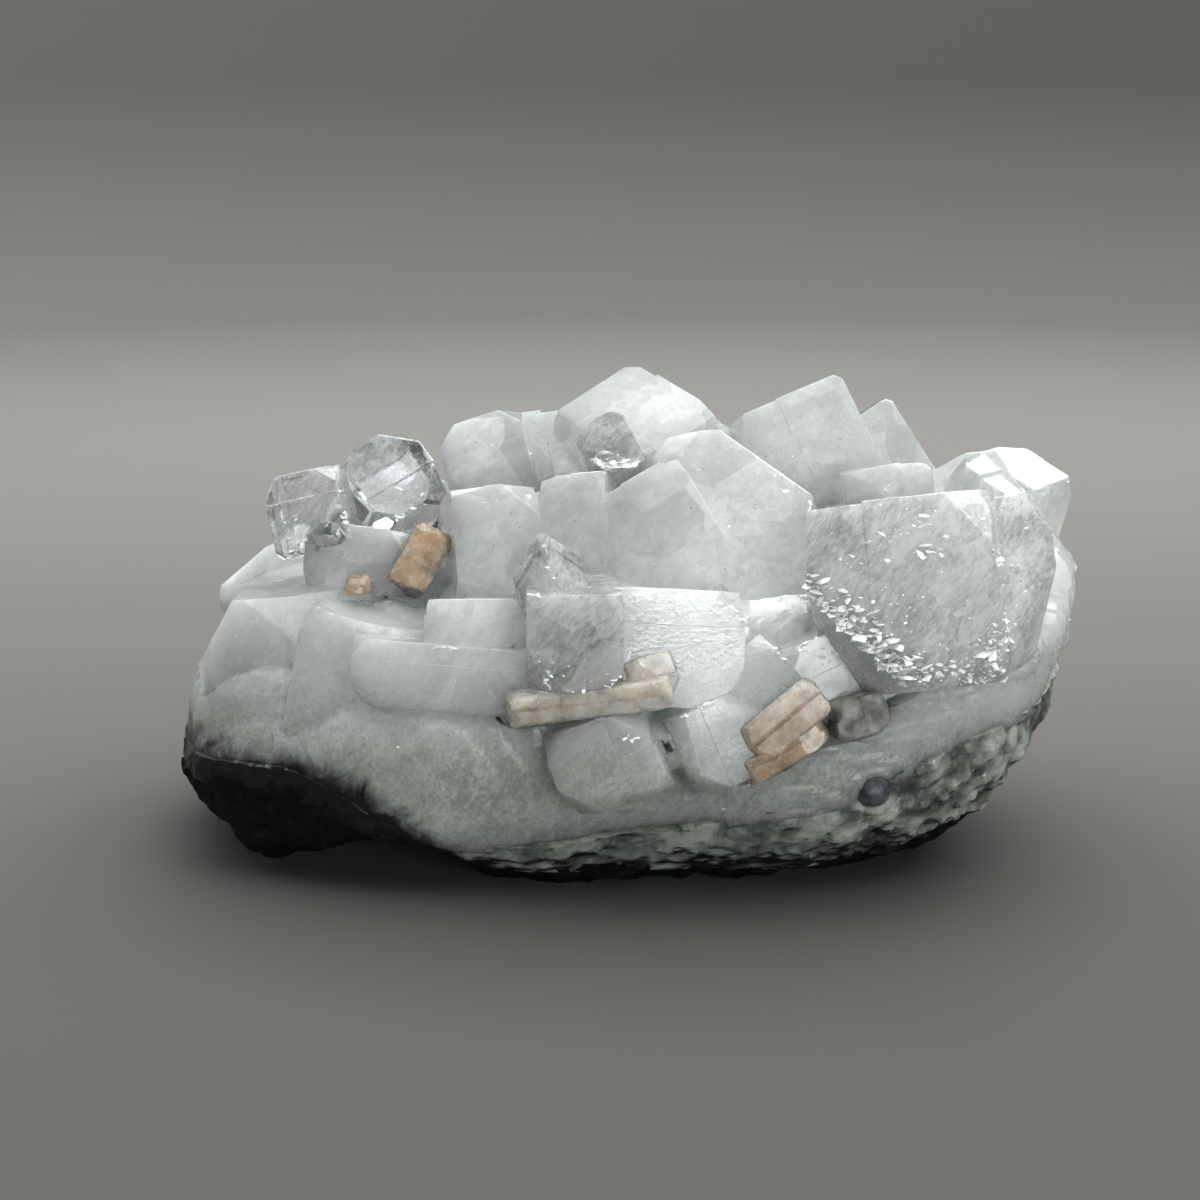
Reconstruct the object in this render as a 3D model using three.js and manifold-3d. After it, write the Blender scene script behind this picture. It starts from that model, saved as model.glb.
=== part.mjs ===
// Apophyllite cluster: a loose hand specimen. Clear and cloudy apophyllite crystals, with a few
// peach stilbite blades, stand on a pale chalcedony crust over a piece of basalt.
// Millimetres, +Z up. The origin is at the middle of the footprint, on the surface it rests on.
import * as THREE from 'three';
import { ConvexGeometry } from 'three/addons/geometries/ConvexGeometry.js';
import { ImprovedNoise } from 'three/addons/math/ImprovedNoise.js';
import { mergeVertices } from 'three/addons/utils/BufferGeometryUtils.js';
import Module from 'manifold-3d';

const wasm = await Module();
wasm.setup();

// ---- Driving dimensions -------------------------------------------------------------------

const GAP = 0.3;                 // left between pieces that touch
const MIDDLE_HEIGHT = 19;        // height of the specimen's widest section
const HALF = { left: 46, right: 43.5, front: 25.5, back: 29, up: 13, down: 22 };
const SQUARENESS = { up: 2.1, down: 2.7 };         // 2 is an ellipsoid, higher is boxier
const RIGHT_LIFT = { from: 14, over: 28, by: 8 };  // the right end curls up off the ground
const LEFT_SAG = { from: -12, over: 30, by: -6 };  // the left end bulges low
const HOLLOWS = [                // scooped out under the front left, and along the left edge
  { at: [-25, -18, -1], size: [21, 26, 13] },
  { at: [-49, -8, -3], size: [26, 60, 24] },
];
const LUMPS = [                  // size across, and how far each kind of lump stands out
  { size: 17, height: 1.5 },
  { size: 6, height: 0.5 },
];
const BODY_STEPS = { around: 54, upward: 17 };

// How high the top of the basalt and the top of the crust meet the outside, by direction:
// 0 is the right end, 90 the back, 180 the left end and 270 the front.
const BASALT_TOP = [
  [0, 12], [30, 14], [60, 15], [90, 14], [120, 15], [150, 11], [172, 8], [187, 8], [205, 9.5], [226, 10.5],
  [233, 8.5], [240, 5], [246, 2.5], [254, 1.5], [270, 1.2], [300, 1.4], [320, 2.2], [338, 6], [350, 9.5],
];
const CRUST_TOP = [
  [0, 20], [30, 20], [60, 19], [90, 18], [120, 18], [150, 14], [172, 9.6], [187, 9.6], [205, 10.9],
  [226, 11.8], [233, 9.9], [240, 6.6], [246, 4.4], [254, 4.2], [270, 6], [290, 9], [305, 13], [320, 16],
  [338, 18.5],
];
const BASALT_MIDDLE = 5;         // heights of the two contacts under the middle of the specimen
const CRUST_MIDDLE = 9;
const RAGGED = { size: 5, height: 0.9 };           // waviness of both contact lines
const CONTACT_RINGS = [0.35, 0.85, 1.6, 1.6];      // reach of a contact's rings, 1 is the outside
const CLEAR_OF_ALL = 90;                           // a height above the whole specimen
const GROUND = { width: 200, depth: 40 };          // block that trims the underside flat

// Apophyllite is tetragonal: a square prism whose corners are cut by pyramid faces, each of them
// leaning this far from the end face.
const PYRAMID_ANGLE = 60.5;

// Each crystal: where the middle of its end face is, which way it points (direction around, then
// up), its turn about that line, its size (both widths of the prism, then its length), and how far
// the corners of the end face are cut back: one number, or upper right, upper left, lower left and
// lower right, seen end on. `root` gives the same cuts for the far end, where that shows too.
const MILKY = {
  // the peaks along the top
  topPeak: { at: [0.2, 2, 42.5], points: [-85, 60], turn: 43, size: [12, 12, 20], cuts: [1.5, 1, 1, 1] },
  topLeftA: { at: [-15, 0, 38.2], points: [-105, 30], turn: 22, size: [9, 9, 18], cuts: 2 },
  topLeftB: { at: [-9, 2, 38.8], points: [-85, 40], turn: 8, size: [9.5, 9, 18], cuts: [2, 2, 1, 2] },
  wedgePeak: { at: [17.2, 0, 39], points: [-80, 25], turn: 21, size: [13, 12, 18], cuts: [0.8, 2, 2, 2] },
  backTablet: { at: [26.3, 8, 37.3], points: [-60, 25], turn: 24, size: [8, 10, 12], cuts: 1 },
  farRight: { at: [38.1, 2.5, 36.6], points: [-60, 70], turn: 10, size: [9.5, 8.5, 18], cuts: [1, 2, 1, 1] },
  farRightB: { at: [32, 3, 33.6], points: [-95, 50], turn: 5, size: [11, 8, 14], cuts: [1, 2, 1, 1] },
  lyingRight: { at: [24.5, -6, 36.5], points: [-95, 30], turn: 5, size: [9, 4.5, 14], cuts: 1 },
  rightTip: { at: [40.6, -6, 23.2], points: [-40, 10], turn: 20, size: [9, 9, 14], cuts: [2, 1, 3, 2] },
  // the large central faces
  bigMiddle: { at: [10, -11, 34.5], points: [-78, 36], turn: 3, size: [15, 19, 22], cuts: [8, 3, 4, 3] },
  bigLeft: { at: [2, -14.5, 33], points: [-100, 25], turn: 33, size: [11, 13, 20], cuts: 2 },
  // upper left
  leftFacet: { at: [-27, -11.5, 30.5], points: [-98, 12], turn: -6, size: [10, 6.5, 16], cuts: 2 },
  innerLeft: { at: [-13, -15, 33], points: [-80, 20], turn: 2, size: [8.5, 10.5, 16], cuts: [2, 1, 1, 2] },
  innerMiddle: { at: [-6, -13, 34.5], points: [-100, 18], turn: 8, size: [6.5, 9, 14], cuts: [1, 2, 1, 1] },
  // left end and front
  leftEnd: { at: [-36.8, -12, 16.5], points: [-132, -4], turn: 6, size: [16, 20, 24], cuts: [5, 7, 3, 3] },
  leftFront: { at: [-27, -20.5, 19], points: [-108, 5], turn: -10, size: [12, 15, 18], cuts: [3, 2, 3, 3] },
  leftSlab: { at: [-18, -24.5, 22], points: [-97, 3], turn: -3, size: [17.5, 6.5, 18], cuts: [2, 2, 3, 2] },
  ledge: { at: [-15, -23.5, 27], points: [-96, 16], turn: 2, size: [9.5, 4.5, 12], cuts: 1 },
  frontTop: { at: [3.5, -26, 25.3], points: [-84, 14], turn: -4, size: [12.5, 11, 16], cuts: [3, 1, 2, 3] },
  greyBlock: { at: [10.8, -26.5, 21.5], points: [-92, 18], turn: 42, size: [7.5, 7.5, 14], cuts: 2 },
  midBlock: { at: [8, -28, 17], points: [-82, 8], turn: 22, size: [9, 8, 14], cuts: [2, 1, 3, 2] },
  lowBlock: { at: [-3, -29, 15], points: [-98, 2], turn: 22, size: [10, 8.5, 12], cuts: [3.5, 2.5, 3.5, 2] },
  underClear: { at: [20, -24, 23], points: [-75, 10], turn: 20, size: [12, 8, 14], cuts: 2 },
};
const CLEAR_LEFT = {
  block: { at: [-32, -9, 34.5], points: [-104, 10], turn: 15, size: [8, 8, 11], cuts: [1, 2, 1.5, 1] },
  ridge: { at: [-24, -6, 37.5], points: [-92, 38], turn: 35, size: [9, 9, 12], cuts: 3 },
};
const CLEAR_TOP = {
  facet: { at: [-3, -7, 41], points: [-100, 35], turn: 30, size: [5.5, 5.5, 9], cuts: 1 },
};
const CLEAR_FRONT = {
  block: { at: [-5.7, -28.5, 26.2], points: [-88, 4], turn: 0, size: [8.8, 9, 11], cuts: [1, 1, 2, 2] },
  pyramid: { at: [-8.8, -24.5, 35.4], points: [-110, 66], turn: 30, size: [6.5, 6.5, 12], cuts: 6 },
};
const CLEAR_RIGHT = {
  large: { at: [25.6, -24, 20.8], points: [-66, -76], turn: 36, size: [17.2, 12, 17.6],
    cuts: [8.6, 8.6, 5, 5], root: [4, 5, 5, 4] },
  second: { at: [31.4, -17.6, 20.6], points: [-55, -76], turn: 16, size: [14.5, 12, 16.2],
    cuts: [7.2, 7.2, 5, 5], root: [3, 4, 3, 4] },
};
const STILBITE_LEFT = {
  wedge: { at: [-20, -15.5, 31.5], points: [-80, 18], turn: -32, size: [4, 6.5, 7], cuts: [1, 1, 0.5, 1] },
};
const STILBITE_CHIP = {
  chip: { at: [-26.5, -15, 28.5], points: [-95, 8], turn: 5, size: [2.6, 2, 5], cuts: [0.5, 0.4, 0.4, 0.4] },
};
const STILBITE_MIDDLE = {
  band: { at: [-4.5, -28.5, 20.5], points: [-92, -4], turn: 8, size: [15.5, 3, 7], cuts: [1, 1, 0.6, 0.6] },
  end: { at: [1.5, -27.5, 22.5], points: [-80, 4], turn: 12, size: [5, 5, 7], cuts: [1, 1, 0.6, 1] },
};
const STILBITE_RIGHT = {
  upper: { at: [13.2, -28.5, 18.9], points: [-92, 10], turn: 40, size: [8.8, 4.2, 8], cuts: 0.8 },
  lower: { at: [13.2, -28.7, 16], points: [-90, 4], turn: 31, size: [9, 2.6, 8], cuts: 0.8 },
};
const SMOKY = {
  grain: { at: [20.3, -27.5, 19.2], points: [-78, 6], turn: 12, size: [5, 3.6, 6], cuts: [1.2, 1, 1, 1.2] },
};
const NODULE = { at: [21.8, -22.8, 11], radius: 1.8 };

// Crystals that cover the back and both ends, set out in rings by a seeded loop.
const BACK_RINGS = [
  { height: 62, from: 20, to: 160, count: 5, across: 12 },
  { height: 36, from: 4, to: 160, count: 8, across: 12 },
  { height: 12, from: 14, to: 150, count: 7, across: 11 },
];
const BACK_LENGTH = 16;

// ---- Shapes -------------------------------------------------------------------------------

const radians = THREE.MathUtils.degToRad;
const noise = new ImprovedNoise();

function heading(around, up) {
  const a = radians(around);
  const e = radians(up);
  return new THREE.Vector3(Math.cos(a) * Math.cos(e), Math.sin(a) * Math.cos(e), Math.sin(e));
}

function randomSeries(seed) {
  let state = seed;
  return () => {
    state = (state * 1664525 + 1013904223) % 4294967296;
    return state / 4294967296;
  };
}

function toSolid(geometry) {
  const bare = geometry.clone();
  bare.deleteAttribute('normal');
  bare.deleteAttribute('uv');
  const merged = mergeVertices(bare, 1e-4);
  return new wasm.Manifold(new wasm.Mesh({
    numProp: 3,
    vertProperties: new Float32Array(merged.attributes.position.array),
    triVerts: new Uint32Array(merged.index.array),
  }));
}

function toGeometry(solid) {
  const mesh = solid.getMesh();
  const geometry = new THREE.BufferGeometry();
  geometry.setAttribute('position', new THREE.BufferAttribute(mesh.vertProperties, 3));
  geometry.setIndex(new THREE.BufferAttribute(mesh.triVerts, 1));
  const faceted = geometry.toNonIndexed();
  faceted.computeVertexNormals();
  return faceted;
}

function joined(solids) {
  return solids.reduce((whole, solid) => whole.add(solid));
}

// The convex body bounded by planes, each { normal, distance }.
function bounded(planes) {
  const corners = [];
  planes.forEach((p, i) => planes.slice(i + 1).forEach((q, j) => {
    planes.slice(i + j + 2).forEach((r) => {
      const qr = q.normal.clone().cross(r.normal);
      const volume = p.normal.dot(qr);
      if (Math.abs(volume) < 1e-5) {
        return;
      }
      const corner = qr.multiplyScalar(p.distance)
        .addScaledVector(r.normal.clone().cross(p.normal), q.distance)
        .addScaledVector(p.normal.clone().cross(q.normal), r.distance)
        .divideScalar(volume);
      const inside = planes.every((s) => s.normal.dot(corner) <= s.distance + 1e-5);
      if (inside && corners.every((c) => c.distanceTo(corner) > 1e-3)) {
        corners.push(corner);
      }
    });
  }));
  return toSolid(new ConvexGeometry(corners));
}

// Pyramid faces that cut the corners of one end of a prism. `end` is +1 or -1 along its length.
function pyramidFaces(half, cuts, end) {
  const corners = [[1, 1], [-1, 1], [-1, -1], [1, -1]];
  const lean = radians(PYRAMID_ANGLE);
  return corners.map(([x, y], i) => {
    const cut = Array.isArray(cuts) ? cuts[i] : cuts;
    const side = Math.sin(lean) * Math.SQRT1_2;
    const normal = new THREE.Vector3(x * side, y * side, end * Math.cos(lean));
    const edge = new THREE.Vector3(x * (half.x - cut), y * half.y, end * half.z);
    return { normal, distance: normal.dot(edge) };
  });
}

// One crystal, or the same crystal with every face moved out by `grow`.
function crystal({ at, points, turn, size, cuts, root }, grow = 0) {
  const half = new THREE.Vector3(...size).divideScalar(2);
  const planes = [
    { normal: new THREE.Vector3(1, 0, 0), distance: half.x },
    { normal: new THREE.Vector3(-1, 0, 0), distance: half.x },
    { normal: new THREE.Vector3(0, 1, 0), distance: half.y },
    { normal: new THREE.Vector3(0, -1, 0), distance: half.y },
    { normal: new THREE.Vector3(0, 0, 1), distance: half.z },
    { normal: new THREE.Vector3(0, 0, -1), distance: half.z },
    ...pyramidFaces(half, cuts, 1),
    ...(root ? pyramidFaces(half, root, -1) : []),
  ];
  const long = heading(...points);
  const across = heading(points[0] + 90, 0).applyAxisAngle(long, radians(turn));
  const over = long.clone().cross(across);
  const place = new THREE.Matrix4().makeBasis(across, over, long);
  const middle = new THREE.Vector3(...at).addScaledVector(long, -half.z);
  return bounded(planes.map(({ normal, distance }) => {
    const turned = normal.clone().applyMatrix4(place);
    return { normal: turned, distance: distance + grow + turned.dot(middle) };
  }));
}

function crystals(rows, grow = 0) {
  return joined(Object.values(rows).map((row) => crystal(row, grow)));
}

// Height of a contact line in one direction, eased between the stations of its table.
function contactHeight(stations, degrees) {
  const wrapped = (degrees + 360) % 360;
  const next = stations.findIndex(([angle]) => angle > wrapped);
  const [a1, h1] = next > 0 ? stations[next - 1] : stations[stations.length - 1];
  const [a2, h2] = next > 0 ? stations[next] : [stations[0][0] + 360, stations[0][1]];
  const t = THREE.MathUtils.smoothstep(wrapped, a1, a2);
  return h1 + (h2 - h1) * t;
}

// A point of the plain body in one direction, before its lumps and its bend.
function plainPoint(d) {
  const half = [
    d.x < 0 ? HALF.left : HALF.right,
    d.y < 0 ? HALF.front : HALF.back,
    d.z < 0 ? HALF.down : HALF.up,
  ];
  const power = d.z < 0 ? SQUARENESS.down : SQUARENESS.up;
  const sum = Math.abs(d.x) ** power + Math.abs(d.y) ** power + Math.abs(d.z) ** power;
  const scale = sum ** (-1 / power);
  return new THREE.Vector3(d.x * half[0], d.y * half[1], d.z * half[2]).multiplyScalar(scale);
}

// Raises a point to its height, with the right end curled up and the left end sagging.
function bent(point) {
  const lift = Math.max(0, (point.x - RIGHT_LIFT.from) / RIGHT_LIFT.over);
  const sag = Math.max(0, (LEFT_SAG.from - point.x) / LEFT_SAG.over);
  point.z += MIDDLE_HEIGHT + RIGHT_LIFT.by * lift ** 3 + LEFT_SAG.by * sag * sag;
  return point;
}

// A point of the rough body in one direction, moved out by `grow`.
function bodyPoint(around, up, grow = 0) {
  const d = heading(around, up);
  const point = plainPoint(d);
  for (const { size, height } of LUMPS) {
    point.addScaledVector(d, height * noise.noise(point.x / size, point.y / size, point.z / size + size));
  }
  return bent(point).addScaledVector(d, grow);
}

function closedSurface(rings, bottom, top) {
  const count = rings[0].length;
  const points = [bottom, ...rings.flat(), top];
  const index = [];
  const at = (ring, i) => 1 + ring * count + (i % count);
  for (let i = 0; i < count; i += 1) {
    index.push(0, at(0, i + 1), at(0, i));
    index.push(points.length - 1, at(rings.length - 1, i), at(rings.length - 1, i + 1));
    for (let ring = 0; ring + 1 < rings.length; ring += 1) {
      index.push(at(ring, i), at(ring, i + 1), at(ring + 1, i + 1));
      index.push(at(ring, i), at(ring + 1, i + 1), at(ring + 1, i));
    }
  }
  const geometry = new THREE.BufferGeometry().setFromPoints(points);
  geometry.setIndex(index);
  return toSolid(geometry);
}

function body(grow = 0) {
  const rings = [];
  for (let ring = 1; ring < BODY_STEPS.upward; ring += 1) {
    const up = -90 + 180 * ring / BODY_STEPS.upward;
    const points = [];
    for (let i = 0; i < BODY_STEPS.around; i += 1) {
      points.push(bodyPoint(360 * i / BODY_STEPS.around, up, grow));
    }
    rings.push(points);
  }
  const ground = new THREE.BoxGeometry(GROUND.width, GROUND.width, GROUND.depth)
    .translate(0, 0, -GROUND.depth / 2);
  const hollows = HOLLOWS.map(({ at, size }) => (
    toSolid(new THREE.IcosahedronGeometry(0.5, 3).scale(...size).translate(...at))
  ));
  const lump = closedSurface(rings, bodyPoint(0, -90), bodyPoint(0, 90));
  return hollows.reduce((left, hollow) => left.subtract(hollow), lump.subtract(toSolid(ground)));
}

// Everything above a contact: a dished surface that meets the outside at the table's heights.
function above(stations, middleHeight, raise) {
  const top = CONTACT_RINGS.length - 1;
  const rings = CONTACT_RINGS.map((reach, ring) => {
    const points = [];
    for (let i = 0; i < BODY_STEPS.around; i += 1) {
      const degrees = 360 * i / BODY_STEPS.around;
      const wave = RAGGED.height * noise.noise(i / RAGGED.size, stations[0][1], ring);
      const rim = contactHeight(stations, degrees) + wave;
      const height = ring === 0 ? middleHeight : rim;
      const edge = bodyPoint(degrees, 0).multiplyScalar(reach);
      points.push(new THREE.Vector3(edge.x, edge.y, ring === top ? CLEAR_OF_ALL : height + raise));
    }
    return points;
  });
  const low = new THREE.Vector3(0, 0, middleHeight + raise);
  return closedSurface(rings, low, new THREE.Vector3(0, 0, CLEAR_OF_ALL));
}

function backCrystals() {
  const random = randomSeries(20);
  const solids = [];
  for (const { height, from, to, count, across } of BACK_RINGS) {
    for (let i = 0; i < count; i += 1) {
      const around = from + (to - from) * (i + 0.2 + 0.6 * random()) / count;
      const up = height + 10 * (random() - 0.5);
      const base = bent(plainPoint(heading(around, up)));
      const points = [around + 36 * (random() - 0.5), up * 0.75 + 12 + 30 * (random() - 0.5)];
      const size = [across * (0.75 + 0.5 * random()), across * (0.7 + 0.5 * random()), BACK_LENGTH];
      solids.push(crystal({
        at: base.addScaledVector(heading(...points), 1.5 + 3 * random()).toArray(),
        points,
        turn: 90 * random(),
        size,
        cuts: [1, 2, 3, 4].map(() => across * (0.08 + 0.3 * random())),
      }));
    }
  }
  return joined(solids);
}

function nodule(grow = 0) {
  const ball = new THREE.IcosahedronGeometry(NODULE.radius + grow, 2).translate(...NODULE.at);
  return toSolid(ball);
}

function largest(solid) {
  return solid.decompose().reduce((best, part) => (part.volume() > best.volume() ? part : best));
}

// ---- Pieces, the hardest to hide first: each later one makes room for those before it ------

const materials = {
  clear: new THREE.MeshStandardMaterial({ color: 0xdfe6ea, roughness: 0.05, metalness: 0 }),
  milky: new THREE.MeshStandardMaterial({ color: 0xc9d1d2, roughness: 0.3, metalness: 0 }),
  crust: new THREE.MeshStandardMaterial({ color: 0xa9b0a6, roughness: 0.75, metalness: 0 }),
  basalt: new THREE.MeshStandardMaterial({ color: 0x1b1c1e, roughness: 0.9, metalness: 0 }),
  stilbite: new THREE.MeshStandardMaterial({ color: 0xcfa58a, roughness: 0.45, metalness: 0 }),
  smoky: new THREE.MeshStandardMaterial({ color: 0x8d8f8c, roughness: 0.25, metalness: 0 }),
  nodule: new THREE.MeshStandardMaterial({ color: 0x7c848f, roughness: 0.6, metalness: 0 }),
};

const pieces = [
  { name: 'stilbite_right', material: materials.stilbite, rows: STILBITE_RIGHT },
  { name: 'stilbite_left', material: materials.stilbite, rows: STILBITE_LEFT },
  { name: 'stilbite_chip', material: materials.stilbite, rows: STILBITE_CHIP },
  { name: 'smoky_crystal', material: materials.smoky, rows: SMOKY },
  { name: 'clear_crystals_right', material: materials.clear, rows: CLEAR_RIGHT },
  { name: 'clear_crystals_front', material: materials.clear, rows: CLEAR_FRONT },
  { name: 'clear_crystals_left', material: materials.clear, rows: CLEAR_LEFT },
  { name: 'clear_crystal_top', material: materials.clear, rows: CLEAR_TOP },
  { name: 'stilbite_middle', material: materials.stilbite, rows: STILBITE_MIDDLE },
];

const solids = [];
let room = nodule(GAP);
for (const { name, material, rows } of pieces) {
  const grown = crystals(rows, GAP);
  solids.push({ name, material, solid: largest(crystals(rows).subtract(room)) });
  room = room.add(grown);
}
solids.push({ name: 'grey_nodule', material: materials.nodule, solid: nodule() });

const rough = body();
const overBasalt = above(BASALT_TOP, BASALT_MIDDLE, 0);
const overBasaltGap = above(BASALT_TOP, BASALT_MIDDLE, GAP);
const overCrust = above(CRUST_TOP, CRUST_MIDDLE, 0);
const overCrustGap = above(CRUST_TOP, CRUST_MIDDLE, GAP);
const lowerRoom = body(GAP).subtract(overCrustGap);
const grownCrystals = crystals(MILKY).add(backCrystals()).subtract(lowerRoom);
const milky = rough.intersect(overCrustGap).add(grownCrystals);
solids.push({ name: 'milky_apophyllite', material: materials.milky, solid: largest(milky.subtract(room)) });
const crust = rough.intersect(overBasaltGap).subtract(overCrust);
solids.push({ name: 'chalcedony_crust', material: materials.crust, solid: largest(crust.subtract(room)) });
const basalt = rough.subtract(overBasalt);
solids.push({ name: 'basalt_matrix', material: materials.basalt, solid: largest(basalt.subtract(room)) });

const cluster = new THREE.Group();
for (const { name, material, solid } of solids) {
  const mesh = new THREE.Mesh(toGeometry(solid), material);
  mesh.name = name;
  cluster.add(mesh);
}
const box = new THREE.Box3().setFromObject(cluster);
const middle = box.getCenter(new THREE.Vector3());
cluster.position.set(-middle.x, -middle.y, -box.min.z);
cluster.updateMatrixWorld(true);

export default cluster;
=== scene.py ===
"""Apophyllite cluster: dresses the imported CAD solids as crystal, crust and rock, lights them softly
and sets the camera. Rows of crystals are in millimetres, in the part's own frame before it was
centred. Everything that reaches Blender is in metres."""
import math
from itertools import combinations

import bmesh
import bpy
import numpy as np
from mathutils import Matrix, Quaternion, Vector, noise
from mathutils.bvhtree import BVHTree


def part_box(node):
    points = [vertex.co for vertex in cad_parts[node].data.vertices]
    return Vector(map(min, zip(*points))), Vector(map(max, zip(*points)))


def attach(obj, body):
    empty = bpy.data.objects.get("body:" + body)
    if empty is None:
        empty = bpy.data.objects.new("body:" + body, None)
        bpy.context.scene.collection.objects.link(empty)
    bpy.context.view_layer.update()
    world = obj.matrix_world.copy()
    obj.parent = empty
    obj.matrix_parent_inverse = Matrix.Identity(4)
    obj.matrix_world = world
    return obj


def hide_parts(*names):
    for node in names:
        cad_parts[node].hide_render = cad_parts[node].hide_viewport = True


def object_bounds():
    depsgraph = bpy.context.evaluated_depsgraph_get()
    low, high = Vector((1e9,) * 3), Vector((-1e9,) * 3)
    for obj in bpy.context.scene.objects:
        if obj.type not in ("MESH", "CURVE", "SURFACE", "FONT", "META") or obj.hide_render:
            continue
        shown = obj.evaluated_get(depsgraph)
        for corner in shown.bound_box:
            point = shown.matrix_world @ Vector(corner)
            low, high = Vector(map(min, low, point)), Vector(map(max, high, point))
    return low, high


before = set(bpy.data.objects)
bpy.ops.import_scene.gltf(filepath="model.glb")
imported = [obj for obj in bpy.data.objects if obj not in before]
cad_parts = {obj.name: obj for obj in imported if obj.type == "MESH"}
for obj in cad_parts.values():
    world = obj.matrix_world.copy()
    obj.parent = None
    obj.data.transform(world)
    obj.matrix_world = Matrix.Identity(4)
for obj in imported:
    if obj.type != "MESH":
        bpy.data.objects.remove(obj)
cad_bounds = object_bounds()

MM = 0.001

# ---- The crystals, as in the part's source -------------------------------------------------------

NODULE_AT = (21.8, -22.8, 11)
PYRAMID_ANGLE = 60.5

# Each row is the middle of the end face, the direction (around, up), the turn, the size (both
# widths, length), the cuts of the end face's corners, and for some the cuts at the far end.
MILKY = {
    "topPeak": ((0.2, 2, 42.5), (-85, 60), 43, (12, 12, 20), (1.5, 1, 1, 1)),
    "topLeftA": ((-15, 0, 38.2), (-105, 30), 22, (9, 9, 18), 2),
    "topLeftB": ((-9, 2, 38.8), (-85, 40), 8, (9.5, 9, 18), (2, 2, 1, 2)),
    "wedgePeak": ((17.2, 0, 39), (-80, 25), 21, (13, 12, 18), (0.8, 2, 2, 2)),
    "backTablet": ((26.3, 8, 37.3), (-60, 25), 24, (8, 10, 12), 1),
    "farRight": ((38.1, 2.5, 36.6), (-60, 70), 10, (9.5, 8.5, 18), (1, 2, 1, 1)),
    "farRightB": ((32, 3, 33.6), (-95, 50), 5, (11, 8, 14), (1, 2, 1, 1)),
    "lyingRight": ((24.5, -6, 36.5), (-95, 30), 5, (9, 4.5, 14), 1),
    "rightTip": ((40.6, -6, 23.2), (-40, 10), 20, (9, 9, 14), (2, 1, 3, 2)),
    "bigMiddle": ((10, -11, 34.5), (-78, 36), 3, (15, 19, 22), (8, 3, 4, 3)),
    "bigLeft": ((2, -14.5, 33), (-100, 25), 33, (11, 13, 20), 2),
    "leftFacet": ((-27, -11.5, 30.5), (-98, 12), -6, (10, 6.5, 16), 2),
    "innerLeft": ((-13, -15, 33), (-80, 20), 2, (8.5, 10.5, 16), (2, 1, 1, 2)),
    "innerMiddle": ((-6, -13, 34.5), (-100, 18), 8, (6.5, 9, 14), (1, 2, 1, 1)),
    "leftEnd": ((-36.8, -12, 16.5), (-132, -4), 6, (16, 20, 24), (5, 7, 3, 3)),
    "leftFront": ((-27, -20.5, 19), (-108, 5), -10, (12, 15, 18), (3, 2, 3, 3)),
    "leftSlab": ((-18, -24.5, 22), (-97, 3), -3, (17.5, 6.5, 18), (2, 2, 3, 2)),
    "ledge": ((-15, -23.5, 27), (-96, 16), 2, (9.5, 4.5, 12), 1),
    "frontTop": ((3.5, -26, 25.3), (-84, 14), -4, (12.5, 11, 16), (3, 1, 2, 3)),
    "greyBlock": ((10.8, -26.5, 21.5), (-92, 18), 42, (7.5, 7.5, 14), 2),
    "midBlock": ((8, -28, 17), (-82, 8), 22, (9, 8, 14), (2, 1, 3, 2)),
    "lowBlock": ((-3, -29, 15), (-98, 2), 22, (10, 8.5, 12), (3.5, 2.5, 3.5, 2)),
    "underClear": ((20, -24, 23), (-75, 10), 20, (12, 8, 14), 2),
}
CLEAR_LEFT = {
    "block": ((-32, -9, 34.5), (-104, 10), 15, (8, 8, 11), (1, 2, 1.5, 1)),
    "ridge": ((-24, -6, 37.5), (-92, 38), 35, (9, 9, 12), 3),
}
CLEAR_TOP = {
    "facet": ((-3, -7, 41), (-100, 35), 30, (5.5, 5.5, 9), 1),
}
CLEAR_FRONT = {
    "block": ((-5.7, -28.5, 26.2), (-88, 4), 0, (8.8, 9, 11), (1, 1, 2, 2)),
    "pyramid": ((-8.8, -24.5, 35.4), (-110, 66), 30, (6.5, 6.5, 12), 6),
}
CLEAR_RIGHT = {
    "large": ((25.6, -24, 20.8), (-66, -76), 36, (17.2, 12, 17.6), (8.6, 8.6, 5, 5), (4, 5, 5, 4)),
    "second": ((31.4, -17.6, 20.6), (-55, -76), 16, (14.5, 12, 16.2), (7.2, 7.2, 5, 5), (3, 4, 3, 4)),
}
STILBITE_LEFT = {"wedge": ((-20, -15.5, 31.5), (-80, 18), -32, (4, 6.5, 7), (1, 1, 0.5, 1))}
STILBITE_CHIP = {"chip": ((-26.5, -15, 28.5), (-95, 8), 5, (2.6, 2, 5), (0.5, 0.4, 0.4, 0.4))}
STILBITE_MIDDLE = {
    "band": ((-4.5, -28.5, 20.5), (-92, -4), 8, (15.5, 3, 7), (1, 1, 0.6, 0.6)),
    "end": ((1.5, -27.5, 22.5), (-80, 4), 12, (5, 5, 7), (1, 1, 0.6, 1)),
}
STILBITE_RIGHT = {
    "upper": ((13.2, -28.5, 18.9), (-92, 10), 40, (8.8, 4.2, 8), 0.8),
    "lower": ((13.2, -28.7, 16), (-90, 4), 31, (9, 2.6, 8), 0.8),
}
SMOKY = {"grain": ((20.3, -27.5, 19.2), (-78, 6), 12, (5, 3.6, 6), (1.2, 1, 1, 1.2))}

CLEAR_NODES = (
    "clear_crystals_left", "clear_crystal_top", "clear_crystals_front", "clear_crystals_right",
)

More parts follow.
